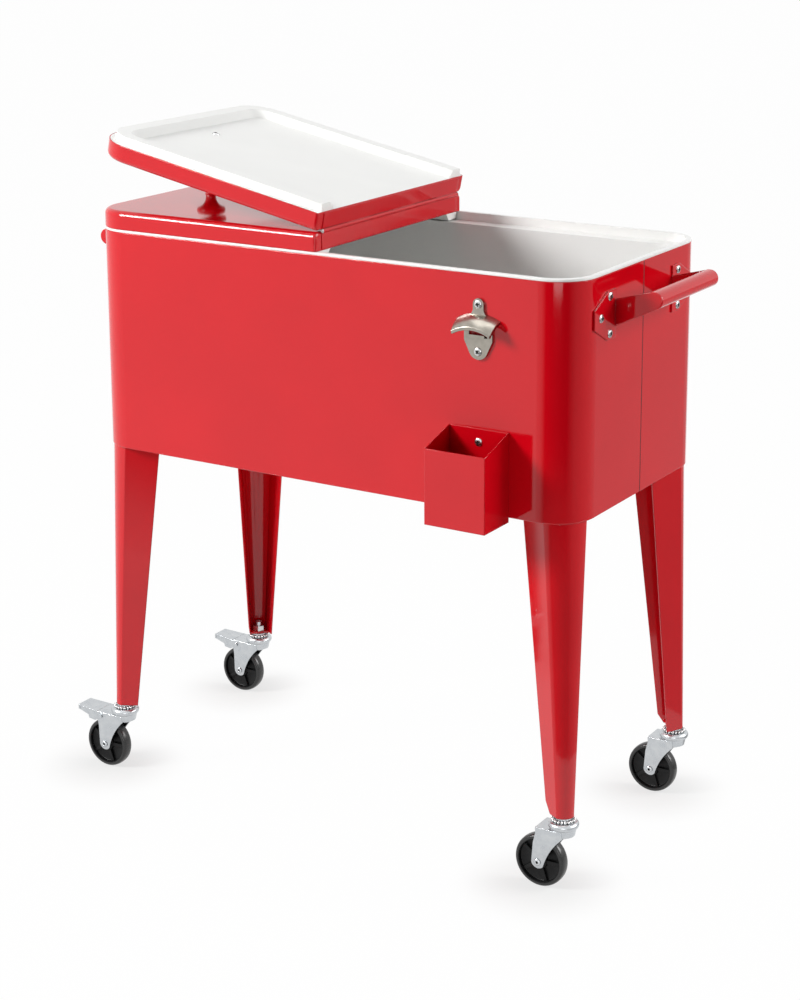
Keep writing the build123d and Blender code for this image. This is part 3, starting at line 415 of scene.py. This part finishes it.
def lay_along_y(mesh, middle):
    """Lay a turned form's axis along Y about a place in millimetres, and go over to metres."""
    bmesh.ops.recalc_face_normals(mesh, faces=mesh.faces)
    lie = Matrix.Translation(middle) @ Matrix.Rotation(math.radians(90), 4, "X")
    bmesh.ops.transform(mesh, matrix=Matrix.Scale(MM, 4) @ lie, verts=mesh.verts)


def new_piece(name, mesh, finish, coats=None):
    """Object from a finished mesh, smooth where its faces run on, in one finish or in coats."""
    data = bpy.data.meshes.new(name)
    mesh.to_mesh(data)
    mesh.free()
    data.shade_smooth()
    data.set_sharp_from_angle(angle=math.radians(SHARP_EDGE))
    for coat in coats or [finishes[finish]]:
        data.materials.append(coat)
    piece = bpy.data.objects.new(name, data)
    bpy.context.scene.collection.objects.link(piece)
    return piece


def turn_screw_blank(length):
    """Screw without its recess, in millimetres, seat at zero: rolled thread and low pan head."""
    head, shank, chamfer = SCREW_HEAD / 2, SCREW_SHANK / 2, 0.15
    pitch, thread, root_above, root_below = 1.4, 0.4, 0.2, 0.1
    side_round, top_round, head_steps = 0.62, 0.9, 12
    core = shank - thread
    profile = [(0, -length), (core, -length)]
    for turn in range(int((length - 1) / pitch)):
        low = -length + turn * pitch
        profile += [(core, low + root_above), (shank, low + pitch / 2),
                    (core, low + pitch - root_below)]
    profile += [(shank, -thread), (shank, 0), (head - chamfer, 0), (head, chamfer)]
    for step in range(1, head_steps):
        lean = math.pi / 2 * step / head_steps
        profile.append((head * math.cos(lean) ** side_round,
                        SCREW_HEAD_HEIGHT * math.sin(lean) ** top_round))
    profile.append((0, SCREW_HEAD_HEIGHT))
    mesh = bmesh.new()
    lathe(mesh, profile, SCREW_SIDES)
    bmesh.ops.recalc_face_normals(mesh, faces=mesh.faces)
    return new_piece("screw_blank", mesh, "bright_steel")


def grind_driver_bit():
    """Cross-shaped bit, tapering to its tip, that leaves the recess."""
    wing_width, wing_length, height, middle, tip = 2.4, 8.2, 3.4, 2.2, 0.45
    mesh = bmesh.new()
    for turn in (0, math.pi / 2):
        wing = bmesh.ops.create_cube(mesh, size=1)["verts"]
        for corner in wing:
            taper = 1.0 if corner.co.z > 0 else tip
            corner.co = Vector((corner.co.x * wing_length * taper,
                                corner.co.y * wing_width * (0.5 + taper / 2),
                                corner.co.z * height + middle))
        bmesh.ops.rotate(mesh, verts=wing, cent=(0, 0, 0), matrix=Matrix.Rotation(turn, 3, "Z"))
    bmesh.ops.recalc_face_normals(mesh, faces=mesh.faces)
    # The bit carries the painted shade that its cut leaves in the recess
    return new_piece("driver_bit", mesh, "bright_steel", [painted_recess_shade])


def cross_recess_screw(length):
    """Mesh of one cross-recessed screw, its recess in the second finish, dark with painted shade.
    """
    blank, bit = turn_screw_blank(length), grind_driver_bit()
    punch = blank.modifiers.new("recess", "BOOLEAN")
    punch.operation, punch.object, punch.solver = "DIFFERENCE", bit, "EXACT"
    # The recess faces take the bit's finish: painted shade
    punch.use_self, punch.material_mode = True, "TRANSFER"
    bpy.context.view_layer.update()
    punched = blank.evaluated_get(bpy.context.evaluated_depsgraph_get())
    finished = bpy.data.meshes.new_from_object(punched)
    for spare in (blank, bit):
        bpy.data.objects.remove(spare)
    return finished


def drive_screws(node, body, template, places):
    """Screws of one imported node, each with a seat, an outward axis and its recess at its own
    turn."""
    first_turn, next_turn = 12, 37
    mesh = bmesh.new()
    for index, (seat, outward) in enumerate(places):
        start = len(mesh.verts)
        mesh.from_mesh(template)
        mesh.verts.ensure_lookup_table()
        lean = Vector(outward).to_track_quat("Z", "Y").to_matrix().to_4x4()
        spin = Matrix.Rotation(math.radians(next_turn * index + first_turn), 4, "Z")
        bmesh.ops.transform(mesh, matrix=Matrix.Translation(seat) @ lean @ spin,
                            verts=mesh.verts[start:])
    bmesh.ops.scale(mesh, vec=(MM, MM, MM), verts=mesh.verts)
    piece = new_piece(node + "_cross_recessed", mesh, "bright_steel",
                      [finishes["bright_steel"], painted_recess_shade])
    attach(piece, body)
    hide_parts(node)


def fit_screws():
    """Cross-recessed screws in the handles, the opener, the catcher and under the knobs."""
    short, long = cross_recess_screw(SCREW_LENGTH), cross_recess_screw(KNOB_SCREW_LENGTH)
    handle_places = [((end * (BODY_END + HANDLE_SHEET), side * across, level), (end, 0, 0))
                     for end in (-1, 1) for side in (-1, 1)
                     for across, level in HANDLE_SCREW_PLACES]
    drive_screws("handle_screws", "cart", short, handle_places)
    front = (0, -1, 0)
    opener_places = [((OPENER_X, BODY_FRONT - OPENER_PLATE, level), front)
                     for level in OPENER_SCREW_LEVELS]
    drive_screws("opener_screws", "cart", short, opener_places)
    catcher_seat = (OPENER_X, BODY_FRONT - CATCHER_SHEET, CATCHER_SCREW_LEVEL)
    drive_screws("catcher_screw", "cart", short, [(catcher_seat, front)])
    left_seat = (-KNOB_DISTANCE, 0, HINGE_LEVEL - KNOB_SCREW_DROP)
    drive_screws("left_knob_screw", "left_lid", long, [(left_seat, (0, 0, -1))])
    across, up = math.cos(LID_FOLD), math.sin(LID_FOLD)
    right_seat = (KNOB_DISTANCE * across - KNOB_SCREW_DROP * up, 0,
                  HINGE_LEVEL - KNOB_DISTANCE * up - KNOB_SCREW_DROP * across)
    drive_screws("right_knob_screw", "right_lid", long, [(right_seat, (-up, 0, -across))])


def fit_swivel_balls():
    """Ring of bearing balls in a pressed cage between each fork's cup and its upper race."""
    count, ring, radius, level, ball_steps = 20, 14.3, 1.95, 99.1, 9
    cage_half_width, cage_half_height = 0.9, 0.5
    inner, outer = ring - cage_half_width, ring + cage_half_width
    low, high = level - cage_half_height, level + cage_half_height
    cage = [(inner, low), (outer, low), (outer, high), (inner, high), (inner, low)]
    leans = [math.pi * step / ball_steps for step in range(1, ball_steps)]
    ball = [(radius * math.sin(lean), level - radius * math.cos(lean)) for lean in leans]
    ball = [(0, level - radius)] + ball + [(0, level + radius)]
    for corner, (x, y) in SWIVEL_PLACES.items():
        mesh = bmesh.new()
        lathe(mesh, cage, CAGE_SIDES)
        # The cage takes the second finish, painted shade between cup and race
        for face in mesh.faces:
            face.material_index = 1
        for index in range(count):
            turn = 2 * math.pi * index / count
            spot = (ring * math.cos(turn), ring * math.sin(turn))
            lathe(mesh, ball, BALL_SIDES, spot, math.pi / BALL_SIDES)
        bmesh.ops.translate(mesh, verts=mesh.verts, vec=(x, y, 0))
        bmesh.ops.scale(mesh, vec=(MM, MM, MM), verts=mesh.verts)
        balls = new_piece(corner + "_swivel_balls", mesh, "bright_steel",
                          [finishes["bright_steel"], painted_recess_shade])
        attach(balls, corner + "_caster")


def fit_hinge_pin():
    """Hinge pin with its two domed, bright heads at the ends of the barrel."""
    shank, head, seat, height = 1.4, 3.0, 170.0, 2.2
    ball = (head ** 2 + height ** 2) / (2 * height)
    half = [(shank, 0), (shank, seat - 0.4), (shank, seat), (head - 0.1, seat), (head, seat + 0.12)]
    dome_rises = (0.35, 0.8, 1.25, 1.65, 1.95, 2.12)
    half += [(math.sqrt(ball ** 2 - (rise + ball - height) ** 2), seat + rise)
             for rise in dome_rises]
    half.append((0, seat + height))
    mesh = bmesh.new()
    lathe(mesh, both_ways(half), PIN_SIDES)
    lay_along_y(mesh, (0, 0, HINGE_LEVEL))
    pin = new_piece("hinge_pin_domed", mesh, "bright_steel")
    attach(pin, "left_lid")
    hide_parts("hinge_pin")


def run_seam_shade_bead():
    """Thin dark bead in the upright seam of each end, from the lip to the tub's bead, as painted
    shade of the seam's gap.
    """
    half_width, proud, sunk, low, high, steps = 1.0, 0.12, 0.3, 494.5, 797.0, 40
    wavers = ((0.08, 0.11), (0.05, 0.37))  # how far in millimetres, and how quickly
    shoulder, shoulder_rise = half_width * 0.85, proud * 0.4
    section = [(-half_width, -sunk), (-shoulder, shoulder_rise), (0, proud),
               (shoulder, shoulder_rise), (half_width, -sunk)]
    for side, end in (("right", 1), ("left", -1)):
        mesh = bmesh.new()
        rows = []
        for step in range(steps + 1):
            level = low + (high - low) * step / steps
            waver = sum(far * math.sin(level * quickly) for far, quickly in wavers)
            row = [(end * (BODY_END + out), across + waver, level) for across, out in section]
            rows.append([mesh.verts.new([value * MM for value in spot]) for spot in row])
        for lower, upper in zip(rows, rows[1:]):
            for spot in range(len(section)):
                after = (spot + 1) % len(section)
                mesh.faces.new((lower[spot], lower[after], upper[after], upper[spot]))
        mesh.faces.new(rows[0])
        mesh.faces.new(rows[-1])
        bmesh.ops.recalc_face_normals(mesh, faces=mesh.faces)
        # The bead's dark finish is painted shade of the seam
        bead = new_piece(side + "_seam_shade_line", mesh, "red_powder_coat", [seam_shade_finish])
        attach(bead, "cart")


def mould_wheel():
    """One wheel about Z in millimetres: full crowned tread, hollow rim, thin web, five tapering
    spokes and a hub."""
    half, rim, web, hub, bore = 8.25, 29.0, 2.5, 11.0, 3.58
    crown, crown_round, shoulder_round, tread_steps = 5.2, 0.55, 0.8, 12
    # Each end of a spoke: its share of the wheel's width, and half its thickness
    spokes, hub_end, rim_end, overlap = 5, (0.8, 2.6), (0.62, 2.0), 0.4
    tread_from = rim + 0.8
    side = [(bore, -half), (hub - 0.8, -half), (hub, -half + 0.8), (hub + 0.6, -web - 0.6),
            (hub + 1.4, -web), (rim - 1.2, -web), (rim - 0.4, -web - 0.6), (rim, -half + 0.5),
            (rim + 0.4, -half)]
    tread = []
    for step in range(tread_steps + 1):
        turn = math.pi * (step / tread_steps - 0.5)
        bulge = math.copysign(abs(math.sin(turn)) ** shoulder_round, turn)
        drop = crown * (1 - math.cos(turn) ** crown_round)
        tread.append((WHEEL_RADIUS - drop, half * bulge))
    other_side = [(radius, -height) for radius, height in reversed(side)]
    mesh = bmesh.new()
    lathe(mesh, side + tread + other_side + [side[0]], WHEEL_SIDES)
    for index in range(spokes):
        spoke = bmesh.ops.create_cube(mesh, size=1)["verts"]
        for corner in spoke:
            outer = corner.co.x > 0
            reach = rim + overlap if outer else hub - overlap
            share, thick = rim_end if outer else hub_end
            corner.co = Vector((reach, corner.co.y * 2 * thick, corner.co.z * 2 * half * share))
        bmesh.ops.rotate(mesh, verts=spoke, cent=(0, 0, 0),
                         matrix=Matrix.Rotation(2 * math.pi * index / spokes, 3, "Z"))
    use_second_finish(mesh, lambda distance: distance > tread_from)
    return mesh


def fit_wheels():
    """Moulded wheels with a smoother tread, one on each axle."""
    for corner, (x, y) in SWIVEL_PLACES.items():
        mesh = mould_wheel()
        lay_along_y(mesh, (x - CASTER_TRAIL, y, WHEEL_RADIUS))
        wheel = new_piece(corner + "_wheel_moulded", mesh, "black_wheel",
                          [finishes["black_wheel"], wheel_tread])
        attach(wheel, corner + "_wheel")
        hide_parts(corner + "_wheel")


def fit_axles():
    """Tubular rivets as axles: set over at both ends, their hollow ends dark inside with painted
    shade.
    """
    pin, head, height, hollow, depth = 3.5, 4.75, 1.8, 1.7, 4.0
    shade_to = hollow + 0.1
    for corner, (x, y) in SWIVEL_PLACES.items():
        node = corner + "_axle"
        solid = nodes[node]
        reach = max(abs((solid.matrix_world @ Vector(spot)).y / MM - y)
                    for spot in solid.bound_box)
        seat = reach - height
        half = [(pin, 0), (pin, seat), (head - 0.2, seat), (head, seat + 0.25),
                (head - 0.3, seat + 0.9), (head - 1.1, seat + 1.5), (head - 2.0, reach),
                (hollow + 0.35, reach - 0.1), (hollow, reach - 0.5),
                (hollow - 0.2, reach - depth), (0, reach - depth - 0.6)]
        mesh = bmesh.new()
        lathe(mesh, both_ways(half), PIN_SIDES)
        # The hollow ends take the second finish: painted shade
        use_second_finish(mesh, lambda distance: distance < shade_to)
        lay_along_y(mesh, (x - CASTER_TRAIL, y, WHEEL_RADIUS))
        axle = new_piece(node + "_tubular", mesh, "zinc", [finishes["zinc"], painted_recess_shade])
        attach(axle, corner + "_caster")
        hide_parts(node)


def place_camera():
    """Camera where the photograph was taken from, looking the way it looked."""
    turn, rise = math.radians(CAMERA_AZIMUTH), math.radians(CAMERA_ELEVATION)
    back = Vector((math.sin(turn) * math.cos(rise), -math.cos(turn) * math.cos(rise),
                   math.sin(rise)))
    data = bpy.data.cameras.new("photo_camera")
    data.sensor_fit = "VERTICAL"
    data.sensor_height = data.sensor_width = SENSOR_SIZE
    data.lens = FOCAL_PIXELS / PHOTO_HEIGHT * SENSOR_SIZE
    data.shift_x = (PHOTO_CENTRE[0] - PRINCIPAL_POINT[0]) / PHOTO_HEIGHT
    data.shift_y = (PRINCIPAL_POINT[1] - PHOTO_CENTRE[1]) / PHOTO_HEIGHT
    camera = bpy.data.objects.new("photo_camera", data)
    bpy.context.scene.collection.objects.link(camera)
    level = (-back).to_track_quat("-Z", "Y").to_matrix()
    roll = Matrix.Rotation(math.radians(CAMERA_ROLL), 3, "Z")
    camera.matrix_world = Matrix.Translation(CAMERA_PLACE) @ (level @ roll).to_4x4()
    bpy.context.scene.camera = camera


def seen_directly(tree):
    """1 for camera, mirror and see-through rays, 0 for the light that falls on things."""
    rays = add(tree, "ShaderNodeLightPath")
    first = add(tree, "ShaderNodeMath",
                {0: rays.outputs["Is Camera Ray"], 1: rays.outputs["Is Glossy Ray"]},
                operation="MAXIMUM")
    both = add(tree, "ShaderNodeMath",
               {0: first.outputs["Value"], 1: rays.outputs["Is Transmission Ray"]},
               operation="MAXIMUM")
    return both.outputs["Value"]


def light_world():
    """White cyclorama: full white to the eye and in reflections, softer as fill light."""
    world = bpy.data.worlds.new("white_studio")
    bpy.context.scene.world = world
    world.use_nodes = True
    tree = world.node_tree
    tree.nodes.clear()
    fill = add(tree, "ShaderNodeBackground",
               {"Color": hex_linear("#FFFFFF"), "Strength": FILL_LIGHT})
    white = add(tree, "ShaderNodeBackground", {"Color": hex_linear("#FFFFFF"), "Strength": 1.0})
    mix = add(tree, "ShaderNodeMixShader",
              {0: seen_directly(tree), 1: fill.outputs["Background"],
               2: white.outputs["Background"]})
    add(tree, "ShaderNodeOutputWorld", {"Surface": mix.outputs["Shader"]})


def hang_softboxes():
    """Four soft lamps: key from the front left, side from the right, a weak top and a low one."""
    for name, (place, aim, size, watts) in SOFTBOXES.items():
        data = bpy.data.lights.new(name, "AREA")
        data.shape = "RECTANGLE"
        data.size, data.size_y = size
        data.energy = watts
        lamp = bpy.data.objects.new(name, data)
        bpy.context.scene.collection.objects.link(lamp)
        lamp.location = place
        lamp.rotation_euler = (Vector(aim) - Vector(place)).to_track_quat("-Z", "Y").to_euler()


def stage_sheet(name, points, faces):
    """Sheet of the studio, no part of the cart."""
    mesh = bpy.data.meshes.new(name)
    mesh.from_pydata(points, [], faces)
    sheet = bpy.data.objects.new(name, mesh)
    bpy.context.scene.collection.objects.link(sheet)
    return sheet


def lay_floor():
    """Pale floor, white to the eye but about each wheel, where its real shadow shows and a grey
    patch of painted shade lies even where no shadow falls.
    """
    reach, shadow_core, shadow_edge = 30.0, 0.02, 0.12
    white_at_wheel, white_away = 0.70, 0.985
    floor = stage_sheet("studio_floor", [(-reach, -reach, 0), (reach, -reach, 0),
                                         (reach, reach, 0), (-reach, reach, 0)], [(0, 1, 2, 3)])
    material, tree, place = start_material("studio_paper_white")
    matt = add(tree, "ShaderNodeBsdfDiffuse", {"Color": hex_linear("#D6D6D4")})
    glow = add(tree, "ShaderNodeEmission", {"Color": hex_linear("#FFFFFF"), "Strength": 1.0})
    centred = add(tree, "ShaderNodeVectorMath", {0: place, 1: (CASTER_TRAIL * MM, 0, 0)},
                  operation="ADD")
    folded = add(tree, "ShaderNodeVectorMath", {0: centred.outputs["Vector"]},
                 operation="ABSOLUTE")
    away = add(tree, "ShaderNodeVectorMath",
               {0: folded.outputs["Vector"], 1: (SWIVEL_X * MM, SWIVEL_Y * MM, 0)},
               operation="DISTANCE")
    # Less white glow about each wheel: real shadow shows there, and the floor's own grey paints a
    # patch of shade
    share = add(tree, "ShaderNodeMapRange",
                {"Value": away.outputs["Value"], "From Min": shadow_core, "From Max": shadow_edge,
                 "To Min": white_at_wheel, "To Max": white_away},
                interpolation_type="SMOOTHSTEP")
    shown = add(tree, "ShaderNodeMath", {0: seen_directly(tree), 1: share.outputs["Result"]},
                operation="MULTIPLY")
    mix = add(tree, "ShaderNodeMixShader",
              {0: shown.outputs["Value"], 1: matt.outputs["BSDF"], 2: glow.outputs["Emission"]})
    add(tree, "ShaderNodeOutputMaterial", {"Surface": mix.outputs["Shader"]})
    floor.data.materials.append(material)


def spread_reflection_sheet():
    """Glowing sheet on the floor about the round front corner, met only in reflections, that paints
    reflections: black before the corner, fading to grey along the end and lighter grey close by. It
    paints the dark band of reflection that the corner and the legs show."""
    near, far, lift, steps = 0.45, 15.0, 0.001, 24
    lightened_to, black_from = 1.2, 2.0
    # Direction from the corner in degrees, from straight ahead round to the back, and the tone of
    # painted reflection it glows with
    stops = [(-28, "#F0F0F0"), (-19, "#D8D8D8"), (-5.5, "#000000"), (55, "#000000"),
             (78, "#949494"), (105, "#A6A6A6"), (157, "#B3B3B3"), (180, "#B8B8B8")]
    first, last = stops[0][0], stops[-1][0]
    turns = [math.radians(first + (last - first) * step / steps) for step in range(steps + 1)]
    points = [(math.sin(turn) * reach, -math.cos(turn) * reach, lift)
              for reach in (near, far) for turn in turns]
    faces = [(step, step + 1, step + steps + 2, step + steps + 1) for step in range(steps)]
    cloth = stage_sheet("dark_cloth", points, faces)
    cloth.location = (BODY_END * MM, BODY_FRONT * MM, 0)
    cloth.visible_camera = cloth.visible_diffuse = False
    cloth.visible_shadow = cloth.visible_transmission = False
    material, tree, place = start_material("painted_reflection_grey")
    quarter = add(tree, "ShaderNodeVectorRotate", {"Vector": place, "Angle": math.radians(90)},
                  rotation_type="Z_AXIS")
    round_about = add(tree, "ShaderNodeTexGradient", {"Vector": quarter.outputs["Vector"]},
                      gradient_type="RADIAL")
    tone = add(tree, "ShaderNodeValToRGB", {"Fac": round_about.outputs["Fac"]})
    ramp = tone.color_ramp.elements
    while len(ramp) < len(stops):
        ramp.new(0.5)
    for element, (degrees, code) in zip(ramp, stops):
        element.position = 0.5 + degrees / 360
        element.color = hex_linear(code)
    away = add(tree, "ShaderNodeVectorMath", {0: place}, operation="LENGTH")
    close_by = add(tree, "ShaderNodeMapRange",
                   {"Value": away.outputs["Value"], "From Min": lightened_to, "From Max": black_from,
                    "To Min": 1.0, "To Max": 0.0})
    # Close to the corner the painted reflection is lifted to at least grey #7C7C7C
    lightened_near = add(tree, "ShaderNodeMixRGB",
               {"Fac": close_by.outputs["Result"], "Color1": tone.outputs["Color"],
                "Color2": hex_linear("#7C7C7C")}, blend_type="LIGHTEN")
    glow = add(tree, "ShaderNodeEmission", {"Color": lightened_near.outputs["Color"], "Strength": 1.0})
    add(tree, "ShaderNodeOutputMaterial", {"Surface": glow.outputs["Emission"]})
    cloth.data.materials.append(material)


finish_nodes()
fit_screws()
fit_swivel_balls()
fit_hinge_pin()
run_seam_shade_bead()
fit_wheels()
fit_axles()
place_camera()
light_world()
lay_floor()
spread_reflection_sheet()
hang_softboxes()
bpy.context.scene.view_settings.view_transform = "Standard"
